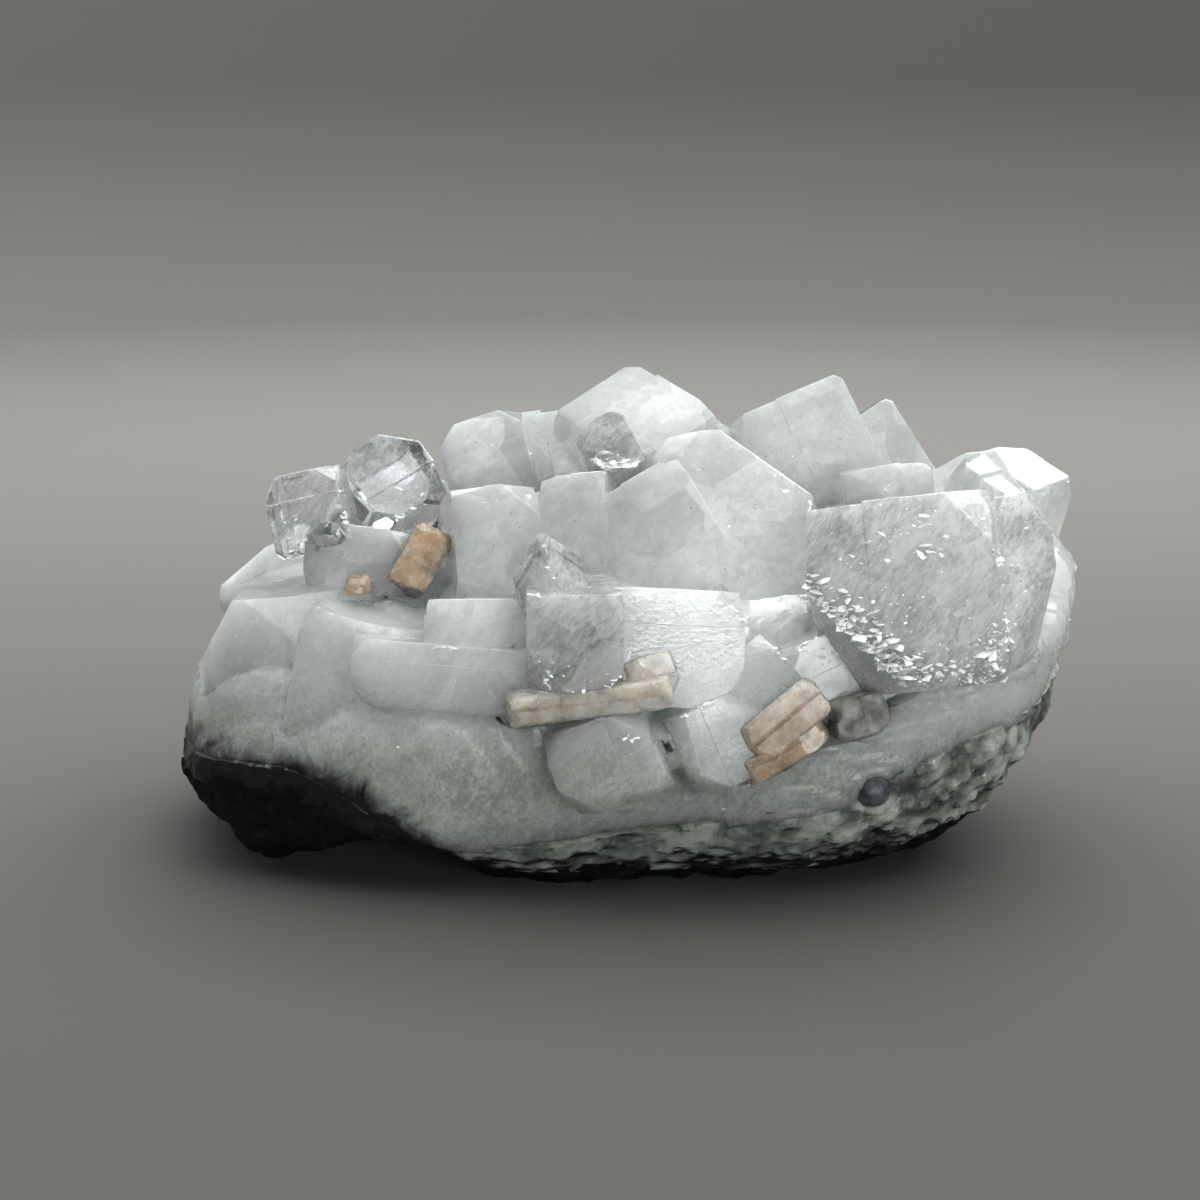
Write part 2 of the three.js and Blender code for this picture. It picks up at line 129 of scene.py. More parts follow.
# The plain body: its half sizes, how square it is, and where its right end lifts and its left end
# sags (the place where the bend begins, the width it takes, and how far it goes).
MIDDLE_HEIGHT = 19
HALF = {"left": 46, "right": 43.5, "front": 25.5, "back": 29, "up": 13, "down": 22}
SQUARENESS = {"up": 2.1, "down": 2.7}
RIGHT_LIFT = (14, 28, 8)
LEFT_SAG = (-12, 30, -6)

# The rings of crystals that cover its back: height, first and last direction, count and width.
BACK_SEED = 20
BACK_RINGS = ((62, 20, 160, 5, 12), (36, 4, 160, 8, 12), (12, 14, 150, 7, 11))
BACK_LENGTH = 16

low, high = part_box("grey_nodule")
ORIGIN = (Vector(low) + Vector(high)) / 2 - Vector(NODULE_AT) * MM


# ---- Convex bodies from planes ---------------------------------------------------------------

# A corner this near a plane, in millimetres, lies on it.
ON_PLANE = 4e-3
# Faces whose normals agree more than this get no bevel between them.
NEARLY_FLAT = 0.97


def heading(around, up):
    """The direction at an angle around from +X and an angle up from level, in degrees."""
    a, e = math.radians(around), math.radians(up)
    return Vector((math.cos(a) * math.cos(e), math.sin(a) * math.cos(e), math.sin(e)))


def crystal_axes(points, turn):
    """The two widths and the length of a crystal, as rows of directions."""
    long = heading(*points)
    across = heading(points[0] + 90, 0)
    across.rotate(Quaternion(long, math.radians(turn)))
    return np.array([across, long.cross(across), long])


def pyramid_planes(half, cuts, end):
    """The four planes that cut the corners off one end, each at its own distance along an edge."""
    lean = math.radians(PYRAMID_ANGLE)
    side = math.sin(lean) * math.sqrt(0.5)
    cuts = cuts if isinstance(cuts, tuple) else (cuts,) * 4
    planes = []
    for (x, y), cut in zip(((1, 1), (-1, 1), (-1, -1), (1, -1)), cuts):
        normal = np.array((x * side, y * side, end * math.cos(lean)))
        edge = np.array((x * (half[0] - cut), y * half[1], end * half[2]))
        planes.append((normal, normal @ edge))
    return planes


def crystal_planes(row):
    """The planes of one crystal in its own axes, its centre, and its axes."""
    at, points, turn, size, cuts = row[:5]
    half = np.array(size) / 2
    planes = []
    for i in range(3):
        for way in (1, -1):
            planes.append((np.eye(3)[i] * way, half[i]))
    planes += pyramid_planes(half, cuts, 1)
    if len(row) > 5:
        planes += pyramid_planes(half, row[5], -1)
    axes = crystal_axes(points, turn)
    centre = np.array(at) - axes[2] * half[2]
    return planes, centre, axes


def corners_of(normals, distances):
    """Corners of the convex body inside all the planes."""
    triples = np.array(list(combinations(range(len(normals)), 3)))
    matrices = normals[triples]
    usable = np.abs(np.linalg.det(matrices)) > 1e-5
    triples, matrices = triples[usable], matrices[usable]
    corners = np.linalg.solve(matrices, distances[triples][..., None])[..., 0]
    inside = (corners @ normals.T <= distances + 1e-6).all(1)
    return np.unique(np.round(corners[inside], 3), axis=0)


def chamfered(planes, width, rng):
    """Adds a narrow plane along each edge of the body, of a width that varies from edge to edge."""
    normals = np.array([n for n, _ in planes])
    distances = np.array([d for _, d in planes])
    corners = corners_of(normals, distances)
    on = np.abs(corners @ normals.T - distances) < ON_PLANE
    extra = []
    for i, j in combinations(range(len(planes)), 2):
        shared = corners[on[:, i] & on[:, j]]
        if len(shared) < 2 or normals[i] @ normals[j] > NEARLY_FLAT:
            continue
        middle = normals[i] + normals[j]
        middle /= np.linalg.norm(middle)
        extra.append((middle, middle @ shared[0] - width * (0.4 + 1.2 * rng.random())))
    return planes + extra


def chipped(planes, rng, count=3, depths=(0.3, 1.1)):
    """Adds small slanted planes that break off some of the corners."""
    normals = np.array([n for n, _ in planes])
    distances = np.array([d for _, d in planes])
    corners = corners_of(normals, distances)
    extra = []
    for corner in corners[rng.choice(len(corners), count, replace=False)]:
        normal = corner / np.linalg.norm(corner) + rng.normal(0, 0.35, 3)
        normal /= np.linalg.norm(normal)
        farthest = (corners @ normal).max()
        extra.append((normal, farthest - rng.uniform(*depths)))
    return planes + extra


def convex_piece(name, planes, centre, axes):
    """One convex body inside the planes, as an object in metres."""
    normals = np.array([n for n, _ in planes])
    distances = np.array([d for _, d in planes])
    hull = bmesh.new()
    for corner in corners_of(normals, distances):
        hull.verts.new(ORIGIN + Vector(centre + corner @ axes) * MM)
    made = bmesh.ops.convex_hull(hull, input=hull.verts, use_existing_faces=False)
    spare = made["geom_interior"] + made["geom_unused"]
    inner = {part for part in spare if isinstance(part, bmesh.types.BMVert)}
    bmesh.ops.delete(hull, geom=list(inner), context="VERTS")
    return mesh_object(name, hull)


def mesh_object(name, form):
    mesh = bpy.data.meshes.new(name)
    form.to_mesh(mesh)
    form.free()
    piece = bpy.data.objects.new(name, mesh)
    bpy.context.collection.objects.link(piece)
    return piece


def terraced(name, row, rng, step, width):
    """A crystal as overlapping bodies whose faces stand at slightly different heights."""
    planes, centre, axes = crystal_planes(row)
    planes = chipped(planes, rng)
    half = np.array(row[3]) / 2
    bodies = []
    bodies.append([(n, d - step * rng.random()) for n, d in planes])
    # Two more bodies stand higher and end part way across, and their ends are the steps.
    for layer in (1, 2):
        i = int(rng.integers(0, 2))
        way = rng.choice((-1, 1))
        normal = np.eye(3)[i] * way
        cut = (normal, half[i] * (0.7 * rng.random() - 0.2))
        level = 0 if layer == 2 else 0.5 * step
        bodies.append([(n, d - level * rng.random()) for n, d in planes] + [cut])
    return [
        convex_piece(f"{name}.{i}", chamfered(body, width, rng), centre, axes)
        for i, body in enumerate(bodies)
    ]


def baked(piece):
    """Applies the piece's modifiers."""
    graph = bpy.context.evaluated_depsgraph_get()
    mesh = bpy.data.meshes.new_from_object(piece.evaluated_get(graph), depsgraph=graph)
    piece.modifiers.clear()
    piece.data = mesh
    return piece


def combined(piece, others, operation="UNION"):
    """Joins the others to the piece, or takes them away, and deletes them."""
    for other in others:
        change = piece.modifiers.new("change", "BOOLEAN")
        change.operation = operation
        change.solver = "MANIFOLD"
        change.object = other
    baked(piece)
    for other in others:
        bpy.data.objects.remove(other)
    return piece


# ---- The rough body, remade finer from the CAD solids ----------------------------------------

def modified(piece, kind, **settings):
    change = piece.modifiers.new("change", kind)
    for key, value in settings.items():
        setattr(change, key, value)
    return baked(piece)


def copied(piece, name):
    twin = bpy.data.objects.new(name, piece.data.copy())
    bpy.context.collection.objects.link(twin)
    return twin


def remade(node, name, voxel, smoothing, growth=0):
    """A finer copy of a CAD solid, smoothed and grown outward, in millimetres."""
    piece = copied(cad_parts[node], name)
    modified(piece, "REMESH", mode="VOXEL", voxel_size=voxel * MM)
    if smoothing:
        modified(piece, "SMOOTH", iterations=smoothing, factor=0.5)
    return grown(piece, growth)


def grown(piece, growth):
    """Moves every vertex outward along its normal, in millimetres."""
    places = vertex_table(piece.data) + vertex_table(piece.data, "normal") * growth * MM
    piece.data.vertices.foreach_set("co", places.ravel())
    piece.data.update()
    return piece


def vertex_table(mesh, key="co"):
    """The vertices' places or normals, one row each."""
    values = np.empty(len(mesh.vertices) * 3)
    if key == "co":
        mesh.vertices.foreach_get("co", values)
    else:
        mesh.vertex_normals.foreach_get("vector", values)
    return values.reshape(-1, 3)


def carved(piece, height):
    """Moves every vertex along its normal by height(place), in millimetres, inside the CAD box.
    The attribute "hollow" keeps how deep each place lies."""
    places = vertex_table(piece.data)
    normals = vertex_table(piece.data, "normal")
    moves = np.array([height(Vector(place) / MM) for place in places])
    piece.data.attributes.new("hollow", "FLOAT", "POINT").data.foreach_set("value", -moves)
    places += normals * moves[:, None] * MM
    places = np.clip(places, *(np.array(corner) for corner in cad_bounds))
    piece.data.vertices.foreach_set("co", places.ravel())
    piece.data.update()
    return piece


def waves(place, size, seed):
    """Smooth ups and downs, between about -1 and 1."""
    return noise.noise(place / size + Vector((seed, seed * 1.7, -seed)))


def bumps(place, size, seed):
    """Rounded knobs, 1 at the middle of each and 0 between them."""
    near = noise.voronoi(place / size + Vector((seed, -seed, seed)))[0]
    return 1 - min(1.0, near[0] * 1.6) ** 2


# ---- Rows of crystals for the back -----------------------------------------------------------

def random_series(seed):
    """The same numbers between 0 and 1 as the part's source draws."""
    state = seed
    steps = 2 ** 32

    def draw():
        nonlocal state
        state = (state * 1664525 + 1013904223) % steps
        return state / steps

    return draw


def plain_point(around, up):
    """A point of the plain body in one direction, bent as the specimen is."""
    d = heading(around, up)
    half = (
        HALF["left"] if d.x < 0 else HALF["right"],
        HALF["front"] if d.y < 0 else HALF["back"],
        HALF["down"] if d.z < 0 else HALF["up"],
    )
    power = SQUARENESS["down"] if d.z < 0 else SQUARENESS["up"]
    scale = sum(abs(c) ** power for c in d) ** (-1 / power)
    point = Vector([c * h * scale for c, h in zip(d, half)])
    lift = max(0, (point.x - RIGHT_LIFT[0]) / RIGHT_LIFT[1])
    sag = max(0, (LEFT_SAG[0] - point.x) / LEFT_SAG[1])
    point.z += MIDDLE_HEIGHT + RIGHT_LIFT[2] * lift ** 3 + LEFT_SAG[2] * sag * sag
    return point


def back_rows():
    draw = random_series(BACK_SEED)
    rows = {}
    for height, start, stop, count, across in BACK_RINGS:
        for i in range(count):
            around = start + (stop - start) * (i + 0.2 + 0.6 * draw()) / count
            up = height + 10 * (draw() - 0.5)
            points = (around + 36 * (draw() - 0.5), up * 0.75 + 12 + 30 * (draw() - 0.5))
            size = (across * (0.75 + 0.5 * draw()), across * (0.7 + 0.5 * draw()), BACK_LENGTH)
            at = plain_point(around, up) + heading(*points) * (1.5 + 3 * draw())
            turn = 90 * draw()
            cuts = tuple(across * (0.08 + 0.3 * draw()) for _ in range(4))
            rows[f"back{height}_{i}"] = (tuple(at), points, turn, size, cuts)
    return rows


# ---- Materials -------------------------------------------------------------------------------

class Surface:
    """A material with a Principled shader, and short ways to feed it from patterns."""

    def __init__(self, name, **constants):
        self.material = bpy.data.materials.new(name)
        self.material.use_nodes = True
        self.tree = self.material.node_tree
        self.shader = self.tree.nodes["Principled BSDF"]
        self.place = self.tree.nodes.new("ShaderNodeTexCoord").outputs["Object"]
        for socket, value in constants.items():
            self.shader.inputs[socket.replace("_", " ")].default_value = value

    def node(self, kind, **settings):
        made = self.tree.nodes.new(kind)
        for key, value in settings.items():
            setattr(made, key, value)
        return made

    def link(self, output, socket):
        self.tree.links.new(output, socket)

    def stretched(self, scale, turn=(0, 0, 0)):
        """Object coordinates in millimetres, stretched and turned."""
        made = self.node("ShaderNodeMapping", vector_type="TEXTURE")
        made.inputs["Scale"].default_value = [s * MM for s in scale]
        made.inputs["Rotation"].default_value = [math.radians(t) for t in turn]
        self.link(self.place, made.inputs["Vector"])
        return made.outputs["Vector"]

    def clouds(self, size, detail=2, rough=0.55, twist=0.0, place=None):
        made = self.node("ShaderNodeTexNoise")
        made.inputs["Scale"].default_value = 1
        made.inputs["Detail"].default_value = detail
        made.inputs["Roughness"].default_value = rough
        made.inputs["Distortion"].default_value = twist
        self.link(place or self.stretched((size,) * 3), made.inputs["Vector"])
        return made.outputs["Fac"]

    def cells(self, place):
        made = self.node("ShaderNodeTexVoronoi")
        made.inputs["Scale"].default_value = 1
        self.link(place, made.inputs["Vector"])
        return made

    def specks(self, size):
        """The distance to the nearest of many scattered points."""
        return self.cells(self.stretched((size,) * 3)).outputs["Distance"]

    def facets(self, scale, turn):
        """One random value per flat-sided cell."""
        return self.cells(self.stretched(scale, turn)).outputs["Color"]

    def blended(self, *shares):
        """The weighted sum of (output, weight) pairs."""
        total = None
        for output, weight in shares:
            part = self.maths("MULTIPLY", output, weight)
            total = self.maths("ADD", total, part) if total else part
        return total

    def ramp(self, value, low, high, bottom=0.0, top=1.0):
        made = self.node("ShaderNodeMapRange", interpolation_type="SMOOTHSTEP")
        limits = {"From Min": low, "From Max": high, "To Min": bottom, "To Max": top}
        for socket, number in limits.items():
            made.inputs[socket].default_value = number
        self.link(value, made.inputs["Value"])
        return made.outputs["Result"]

    def mixed(self, share, first, second):
        made = self.node("ShaderNodeMix", data_type="RGBA")
        sockets = (made.inputs[0], made.inputs[6], made.inputs[7])
        for socket, value in zip(sockets, (share, first, second)):
            if isinstance(value, tuple):
                socket.default_value = (*value, 1)
            elif isinstance(value, (int, float)):
                socket.default_value = value
            else:
                self.link(value, socket)
        return made.outputs[2]

    def maths(self, operation, first, second):
        made = self.node("ShaderNodeMath", operation=operation)
        for socket, value in zip(made.inputs, (first, second)):
            if isinstance(value, (int, float)):
                socket.default_value = value
            else:
                self.link(value, socket)
        return made.outputs[0]

    def feed(self, socket, output):
        self.link(output, self.shader.inputs[socket])

    def bump(self, *layers):
        """Layers of (height output, millimetres, strength), from the largest to the finest."""
        last = None
        for height, depth, strength in layers:
            made = self.node("ShaderNodeBump")
            made.inputs["Distance"].default_value = depth * MM
            made.inputs["Strength"].default_value = strength
            self.link(height, made.inputs["Height"])
            if last:
                self.link(last, made.inputs["Normal"])
            last = made.outputs["Normal"]
        self.feed("Normal", last)

    def absorb(self, colour, density):
        made = self.node("ShaderNodeVolumeAbsorption")
        made.inputs["Color"].default_value = (*colour, 1)
        made.inputs["Density"].default_value = density
        self.link(made.outputs[0], self.tree.nodes["Material Output"].inputs["Volume"])


def along_axis(surface, axis, low, high, bottom=0.0, top=1.0):
    """Eases from one value to another between two places on an axis, in millimetres."""
    split = surface.node("ShaderNodeSeparateXYZ")
    surface.link(surface.place, split.inputs[0])
    return surface.ramp(split.outputs[axis], low * MM, high * MM, bottom, top)


def clear_of_rock(surface, low, high):
    """0 at the basalt's ragged edge and 1 above it, where the dark rock shows through no more."""
    split = surface.node("ShaderNodeSeparateXYZ")
    surface.link(surface.place, split.inputs[0])
    left = along_axis(surface, "X", -30, -8, 12.5 * MM, -0.5 * MM)
    right = along_axis(surface, "X", 26, 44, 0, 8 * MM)
    ragged = surface.clouds(2.6, detail=4, rough=0.65, twist=0.4)
    gap = surface.blended((split.outputs["Z"], 1), (left, -1), (right, -1), (ragged, 6 * MM))
    return surface.ramp(gap, low * MM, high * MM)


def milky_surface():
    s = Surface("milky_apophyllite", IOR=1.535, Subsurface_Weight=1.0, Subsurface_Scale=0.014)
    s.shader.inputs["Subsurface Radius"].default_value = (1.0, 1.03, 1.03)
    clouds = s.clouds(7, detail=4, rough=0.65, twist=0.5)
    wisps = s.clouds(1, detail=4, rough=0.8, place=s.stretched((0.6, 0.6, 2.4), (20, 35, 0)))
    grain = s.clouds(0.4, detail=1, rough=0.7)
    rise = along_axis(s, "Z", 12, 27)
    peak = along_axis(s, "Z", 26, 42)
    blend = s.ramp(s.blended((clouds, 0.4), (wisps, 0.35), (grain, 0.25)), 0.38, 0.60)
    # Darker and greener towards the bottom, by height: partly the dark rock showing through, partly
    # painted shade on the lower body.
    upper = s.mixed(blend, (0.89, 0.91, 0.91), (0.97, 0.98, 0.98))
    lower = s.mixed(blend, (0.34, 0.353, 0.325), (0.58, 0.60, 0.565))
    colour = s.mixed(rise, lower, upper)
    specks = s.maths("MULTIPLY", s.ramp(s.specks(0.9), 0.05, 0.09, 1, 0), s.ramp(s.clouds(4), 0.5, 0.6))
    colour = s.mixed(specks, colour, (0.12, 0.12, 0.11))
    s.feed("Base Color", s.mixed(clear_of_rock(s, 1.5, 5), (0.01, 0.01, 0.01), colour))
    s.feed("Subsurface Weight", s.maths("SUBTRACT", 1, specks))
    flats = s.facets((5, 5, 9), (25, 30, 0))
    chips = s.facets((1.1, 0.9, 1.8), (30, 20, 40))
    frost = s.ramp(s.blended((chips, 0.45), (s.clouds(5), 0.9)), 0.72, 0.84, 0, 0.06)
    clear = s.blended((flats, 0.25), (clouds, 0.4), (wisps, 0.35), (rise, 0.25), (peak, 0.25), (frost, -1))
    s.feed("Transmission Weight", s.ramp(clear, 0.4, 1.2, 0.05, 0.6))
    matte = s.blended((s.clouds(3, detail=3), 1), (rise, -0.35), (peak, -0.25))
    s.feed("Roughness", s.ramp(matte, 0.0, 0.6, 0.05, 0.45))
    s.bump((s.clouds(3), 0.08, 0.25), (grain, 0.05, 0.5))
    return s.material


def clear_surface(name, haze, streak_turn):
    """Clear crystal with thin white veils, haze being the least and the most of them."""
    s = Surface(name, IOR=1.535, Subsurface_Weight=1.0, Subsurface_Scale=0.004)
    s.shader.inputs["Subsurface Radius"].default_value = (1.0, 1.02, 1.02)
    veils = s.clouds(1, detail=4, rough=0.8, place=s.stretched((0.4, 0.4, 0.9), streak_turn))
    drifts = s.clouds(4, detail=3, rough=0.6, twist=0.4)
    flats = s.facets((2.5, 2.5, 5), streak_turn)
    # Grey patches here and there darken the crystal's colour.
    grey_patches = s.ramp(s.clouds(2.2, detail=3, rough=0.7), 0.66, 0.74, 0, 0.45)
    s.feed("Base Color", s.mixed(grey_patches, (0.97, 0.98, 0.985), (0.45, 0.47, 0.50)))
    blend = s.blended((veils, 0.5), (drifts, 0.35), (flats, 0.15))
    s.feed("Transmission Weight", s.ramp(blend, 0.36, 0.62, 1 - haze[0], 1 - haze[1]))
    s.feed("Roughness", s.ramp(s.clouds(1.5, detail=3), 0.5, 0.75, 0.0, 0.08))
    s.bump((s.clouds(2.5, detail=1), 0.05, 0.2), (veils, 0.02, 0.15))
    s.absorb((0.80, 0.86, 0.90), 8)
    return s.material


def crack_surface():
    """Slivers that catch the light, frosted with a little mirror in them."""
    s = Surface("cracks", Metallic=0.2)
    colour = s.mixed(s.ramp(s.clouds(0.6), 0.35, 0.6), (0.86, 0.88, 0.89), (0.99, 1.0, 1.0))
    s.feed("Base Color", colour)
    s.feed("Roughness", s.ramp(s.clouds(0.4), 0.3, 0.7, 0.12, 0.4))
    return s.material


def crust_surface():
    s = Surface("chalcedony", IOR=1.53, Subsurface_Weight=0.8, Subsurface_Scale=0.002)
    s.shader.inputs["Subsurface Radius"].default_value = (1.0, 1.05, 0.95)
    hollow = s.node("ShaderNodeAttribute", attribute_name="hollow").outputs["Fac"]
    clouds = s.clouds(3, detail=4, rough=0.65, twist=0.6)
    # Darker in the hollows and lighter on the knobs: painted shade in the recesses, over tone that varies
    # at random.
    share = s.blended((clouds, 0.9), (hollow, -0.35))
    colour = s.mixed(s.ramp(share, 0.22, 0.62), (0.07, 0.078, 0.068), (0.43, 0.455, 0.42))
    # Faces that point down are painted near-black, and so is the crust just above the basalt: painted
    # shade under the specimen, and the basalt rind showing.
    facing = s.node("ShaderNodeSeparateXYZ")
    s.link(s.node("ShaderNodeNewGeometry").outputs["Normal"], facing.inputs[0])
    under = s.blended((facing.outputs["Z"], 1), (s.clouds(2.5, detail=3, rough=0.6), 0.5))
    lit = s.maths("MULTIPLY", s.ramp(under, -0.55, -0.35), clear_of_rock(s, 2.6, 4.6))
    s.feed("Base Color", s.mixed(lit, (0.004, 0.004, 0.004), colour))
    s.feed("Roughness", s.ramp(s.clouds(1.2), 0.3, 0.7, 0.25, 0.6))
    s.bump((s.clouds(0.8), 0.12, 0.4), (s.clouds(0.3), 0.05, 0.4))
    return s.material


def basalt_surface():
    s = Surface("basalt", IOR=1.5, Specular_IOR_Level=0.25)
    shade = s.ramp(s.clouds(1.5, detail=4, rough=0.7), 0.4, 0.7)
    s.feed("Base Color", s.mixed(shade, (0.0007, 0.0007, 0.0008), (0.006, 0.0058, 0.0056)))
    s.feed("Roughness", s.ramp(s.clouds(0.8, detail=3), 0.3, 0.7, 0.5, 0.9))
    s.bump((s.clouds(1.4, detail=4, rough=0.7), 0.5, 0.7), (s.clouds(0.25), 0.08, 0.6))
    return s.material


def stilbite_surface(name, low, high):
    """Peach blades, deepest in colour below the first height and palest above the second."""
    s = Surface(name, IOR=1.5, Subsurface_Weight=1.0, Subsurface_Scale=0.003)
    s.shader.inputs["Subsurface Radius"].default_value = (1.2, 1.0, 0.85)
    clouds = s.clouds(2.5, detail=4, rough=0.7, twist=0.4)
    share = s.ramp(clouds, 0.35, 0.65)
    deep = s.mixed(share, (0.50, 0.36, 0.25), (0.66, 0.52, 0.41))
    pale = s.mixed(share, (0.78, 0.66, 0.57), (0.88, 0.79, 0.72))
    colour = s.mixed(along_axis(s, "Z", low, high), deep, pale)
    specks = s.ramp(s.specks(0.55), 0.08, 0.16, 0.7, 0)
    s.feed("Base Color", s.mixed(specks, colour, (0.34, 0.24, 0.17)))
    s.feed("Transmission Weight", s.ramp(s.clouds(1.8, detail=3), 0.35, 0.7, 0.1, 0.5))
    s.feed("Roughness", s.ramp(s.clouds(1), 0.3, 0.7, 0.1, 0.35))
    s.bump((s.clouds(1.5), 0.05, 0.3))
    return s.material


def smoky_surface():
    s = Surface("smoky", IOR=1.54, Subsurface_Weight=0.7, Subsurface_Scale=0.002)
    s.shader.inputs["Subsurface Radius"].default_value = (1.0, 1.0, 0.95)
    colour = s.mixed(s.ramp(s.clouds(2), 0.35, 0.65), (0.30, 0.295, 0.27), (0.52, 0.515, 0.48))
    s.feed("Base Color", colour)
    s.feed("Transmission Weight", s.ramp(s.clouds(1.5), 0.3, 0.7, 0.2, 0.6))
    s.feed("Roughness", s.ramp(s.clouds(1), 0.3, 0.7, 0.05, 0.2))
    s.bump((s.clouds(0.8), 0.04, 0.3))
    return s.material


def nodule_surface():
    s = Surface("nodule", IOR=1.5, Subsurface_Weight=0.3, Subsurface_Scale=0.001)
    s.shader.inputs["Subsurface Radius"].default_value = (1.0, 1.0, 1.0)
    colour = s.mixed(s.ramp(s.clouds(0.9), 0.35, 0.65), (0.05, 0.06, 0.068), (0.12, 0.135, 0.15))
    s.feed("Base Color", colour)
    s.feed("Roughness", s.ramp(s.clouds(0.5), 0.3, 0.7, 0.3, 0.6))
    s.bump((s.clouds(0.5, detail=3), 0.08, 0.6))
    return s.material


# ---- Pieces ----------------------------------------------------------------------------------

rng = np.random.default_rng(11)


def crystal_group(name, rows, step, width):
    parts = []
    for row_name, row in rows.items():
        parts += terraced(f"{name}.{row_name}", row, rng, step, width)
    return combined(parts[0], parts[1:])


def finished(piece, name, slot, material, *nodes):
    """Names and dresses a piece, and hides the CAD parts of the nodes it stands for, if any."""
    piece.name = name
    piece.data.name = name
    piece.data.materials.clear()
    piece.data.materials.append(material)
    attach(piece, "root")
    if nodes:
        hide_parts(*nodes)


def tree_of(mesh):
    form = bmesh.new()
    form.from_mesh(mesh)
    tree = BVHTree.FromBMesh(form)
    form.free()
    return tree


def nearness_to(mesh, reach):
    """How near a place is to a mesh: 1 where they touch, 0 beyond the reach, in millimetres."""
    tree = tree_of(mesh)

    def share(place):
        gap = tree.find_nearest(place * MM)[3] / MM
        return max(0.0, 1 - gap / reach)

    return share


def nearness_to_node(node, reach):
    return nearness_to(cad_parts[node].data, reach)


def places_on(piece, rows, draw):
    """Random places on a piece in metres, each with its outward direction and the size wanted
    there. A row is a middle in millimetres (None for the whole piece), a reach, a count and a size."""
    tree = tree_of(piece.data)
    faces = piece.data.polygons
    areas = np.array([face.area for face in faces])
    areas /= areas.sum()
    for middle, reach, count, size in rows:
        if middle is None:
            for i in draw.choice(len(faces), count, p=areas):
                corners = [piece.data.vertices[v].co for v in faces[i].vertices]
                shares = draw.dirichlet(np.ones(len(corners)))
                place = sum((c * w for c, w in zip(corners, shares)), Vector())
                yield place, faces[i].normal.copy(), size
            continue
        for _ in range(count):
            around = Vector(middle) + Vector(draw.normal(0, reach, 3))
            place, normal = tree.find_nearest(ORIGIN + around * MM)[:2]
            yield place, normal, size


def in_cad_box(place):
    least, most = cad_bounds
    return all(least[i] <= place[i] <= most[i] for i in range(3))


SLIVER_SIDES = 6


def sparkles(name, piece, rows, seed):
    """Thin slivers that catch the light, set in the surface where it doesn't face down. Most are
    tilted up."""
    draw = np.random.default_rng(seed)
    form = bmesh.new()
    for place, normal, size in places_on(piece, rows, draw):
        if normal.z < -0.3:
            continue
        length = size * MM * (0.35 + 1.3 * draw.random() ** 3)
        facing = (normal + Vector((0, 0, 1.5)) + Vector(draw.normal(0, 0.35, 3))).normalized()
        across = facing.cross(Vector(draw.normal(0, 1, 3))).normalized()
        along = facing.cross(across)
        slim = 0.3 + 0.5 * draw.random()
        middle = place - normal * 0.15 * draw.random() * length
        corners = []
        for step in range(SLIVER_SIDES):
            a = 2 * math.pi * (step + 0.6 * draw.random()) / SLIVER_SIDES
            reach = 0.5 * length * (0.5 + 0.5 * draw.random())
            corners.append(middle + reach * (math.cos(a) * along + slim * math.sin(a) * across))
        if not all(in_cad_box(corner) for corner in corners):
            continue
        rim = [form.verts.new(corner) for corner in corners]
        for way in (1, -1):
            tip = form.verts.new(middle + facing * way * 0.04 * length)
            for step in range(SLIVER_SIDES):
                pair = (rim[step], rim[(step + 1) % SLIVER_SIDES])
                form.faces.new((*(pair if way > 0 else pair[::-1]), tip))
    bmesh.ops.recalc_face_normals(form, faces=form.faces)
    return mesh_object(name, form)


def bladed(name, row, count, rng, step, width):
    """A crystal as a stack of blades across its second width."""
    planes, centre, axes = crystal_planes(row)
    planes = chipped(planes, rng, 5, (0.2, 0.9))
    thickness = row[3][1]
    bodies = []
    for i in range(count):
        low = thickness * (i / count - 0.5)
        high = thickness * ((i + 1.2) / count - 0.5)
        lean = 0.08 * (rng.random() - 0.5)
        blade = [(n, d - step * rng.random() * (1.5 if abs(n[2]) > 0.9 else 1)) for n, d in planes]
        blade.append((np.array((lean, 1, 0)) / math.hypot(1, lean), high))
        blade.append((np.array((-lean, -1, 0)) / math.hypot(1, lean), -low))
        bodies.append(blade)
    return [
        convex_piece(f"{name}.{i}", chamfered(body, width, rng), centre, axes)
        for i, body in enumerate(bodies)
    ]


near_clear = [nearness_to_node(node, 1.2) for node in CLEAR_NODES]
near_nodule = nearness_to_node("grey_nodule", 1.0)

milky = crystal_group("milky", {**MILKY, **back_rows()}, 0.3, 0.05)
near_crystals = nearness_to(milky.data, 1.2)


def eased(value, low, high):
    share = min(1.0, max(0.0, (value - low) / (high - low)))
    return share * share * (3 - 2 * share)


def milky_height(place):
    """Low ledges with fine knobs, filled out beside clear crystals and sunk under the others."""
    under = near_crystals(place)
    level = 5 * waves(place, 13, 3)
    ledges = math.floor(level) + eased(level - math.floor(level), 0.8, 1)
    knobs = waves(place, 2.2, 5) * 0.12
    filling = max([1.3 * near(place) for near in near_clear] + [0.8 * near_nodule(place)])
    open_height = -0.1 + filling + 0.22 * ledges + knobs + waves(place, 0.8, 1) * 0.04
    return (1 - under) * open_height - 1.3 * under


def crust_height(place):
    """Knobbly at the right and behind, only uneven elsewhere."""
    knobbly = max(eased(place.x, 8, 28), eased(place.y, 0, 14))
    lumps = bumps(place, 3.8, 4) * 0.65 + bumps(place, 1.5, 8) * 0.35 - 0.6
    uneven = waves(place, 5, 2) * 0.4 + waves(place, 1.3, 7) * 0.18 + waves(place, 0.7, 6) * 0.06
    return uneven + knobbly * lumps + 0.8 * near_nodule(place)


def basalt_height(place):
    """Ridges, roughened at two finer sizes."""
    ridges = 1 - abs(waves(place, 4.5, 9)) * 2
    return -0.4 + ridges * 0.6 + waves(place, 1.8, 3) * 0.4 + waves(place, 0.7, 7) * 0.15


